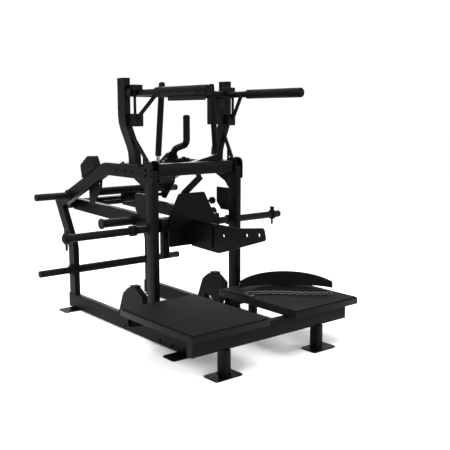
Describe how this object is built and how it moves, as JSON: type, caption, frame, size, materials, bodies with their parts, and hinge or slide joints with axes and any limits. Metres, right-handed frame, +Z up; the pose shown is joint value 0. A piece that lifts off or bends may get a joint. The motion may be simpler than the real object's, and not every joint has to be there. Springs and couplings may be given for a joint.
{
  "type": "belt squat machine",
  "caption": "Plate-loaded belt squat machine with two standing decks, a rear-hinged lever with a chain plate, a lockout handle and hand grips.",
  "frame": {"origin": "on the floor under the centre of the machine's bounding box", "axes": "+X across the machine, towards the right-hand deck as seen from the open front; +Y from the open front to the lever's pivot; +Z up"},
  "size_m": [1.78, 2.1518, 1.678],
  "materials": {
    "black_coat": "fine black powder coat",
    "satin_coat": "satin black powder coat",
    "black_rubber": "matt moulded rubber",
    "tread_rubber": "ribbed matt rubber",
    "bright_steel": "bright zinc",
    "dark_steel": "blackened steel",
    "black_webbing": "black woven webbing",
    "bronze": "sintered bronze"
  },
  "bodies": {
    "frame": {"base_rail_left": "black_coat", "base_rail_right": "black_coat", "front_post_left": "black_coat", "front_post_right": "black_coat", "top_rail_left": "black_coat", "top_rail_right": "black_coat", "rear_post_left": "black_coat", "rear_post_right": "black_coat", "front_crossbar": "black_coat", "lockout_crossbar": "black_coat", "lockout_pin": "bright_steel", "upper_rear_crossbar": "black_coat", "lower_rear_crossbar": "black_coat", "upright_left": "black_coat", "upright_right": "black_coat", "handle_crossbar": "black_coat", "handle_arm_left": "black_coat", "handle_arm_right": "black_coat", "handle_grip_left": "black_rubber", "handle_grip_right": "black_rubber", "grip_rail": "satin_coat", "handle_bracket_left": "black_coat", "handle_bracket_right": "black_coat", "tie_sheet": "satin_coat", "grip_rod_left": "bright_steel", "grip_rod_right": "bright_steel", "rod_grip_left": "black_rubber", "rod_grip_right": "black_rubber", "front_beam": "black_coat", "deck_tray_left": "satin_coat", "deck_tray_right": "satin_coat", "deck_mat_left": "tread_rubber", "deck_mat_right": "tread_rubber", "bumper_stand_left": "black_coat", "bumper_stand_right": "black_coat", "rail_bumper_left": "black_rubber", "rail_bumper_right": "black_rubber", "pivot_bearing_left": "satin_coat", "pivot_bearing_right": "satin_coat", "lever_axle": "bright_steel", "squat_belt": "black_webbing", "belt_chain": "dark_steel"},
    "lever": {"lever_hub": "black_coat", "lever_bush_left": "bronze", "lever_bush_right": "bronze", "lever_beam_left": "black_coat", "lever_beam_right": "black_coat", "lever_cross_tube": "black_coat", "shield_plate": "black_coat", "shield_catch": "black_coat", "nose_plate": "black_coat", "loading_peg_left": "satin_coat", "loading_peg_right": "satin_coat", "drop_leg": "black_coat"},
    "pull_pin": {"pull_pin": "black_rubber"},
    "lock_collar_left": {"lock_collar_left": "satin_coat"},
    "lock_collar_right": {"lock_collar_right": "satin_coat"},
    "lockout": {"lockout_handle": "black_coat", "lockout_hook": "black_coat", "lockout_hook_toe": "black_coat"}
  },
  "joints": [
    {"name": "lever_pivot", "type": "hinge", "parent": "frame", "child": "lever", "pos_m": [0, 1.00709, 0.775], "axis": [1, 0, 0], "range_deg": [0, 19]},
    {"name": "lockout_pivot", "type": "hinge", "parent": "frame", "child": "lockout", "pos_m": [0, 0.02909, 1.136], "axis": [1, 0, 0], "range_deg": [-6, 12]},
    {"name": "pull_pin_slide", "type": "slide", "parent": "lever", "child": "pull_pin", "axis": [1, 0, 0], "range_m": [0, 0.02], "stiffness_N_per_m": 800},
    {"name": "collar_slide_left", "type": "slide", "parent": "lever", "child": "lock_collar_left", "axis": [1, 0, 0], "range_m": [-0.01, 0.42]},
    {"name": "collar_slide_right", "type": "slide", "parent": "lever", "child": "lock_collar_right", "axis": [1, 0, 0], "range_m": [-0.37, 0.05]}
  ]
}
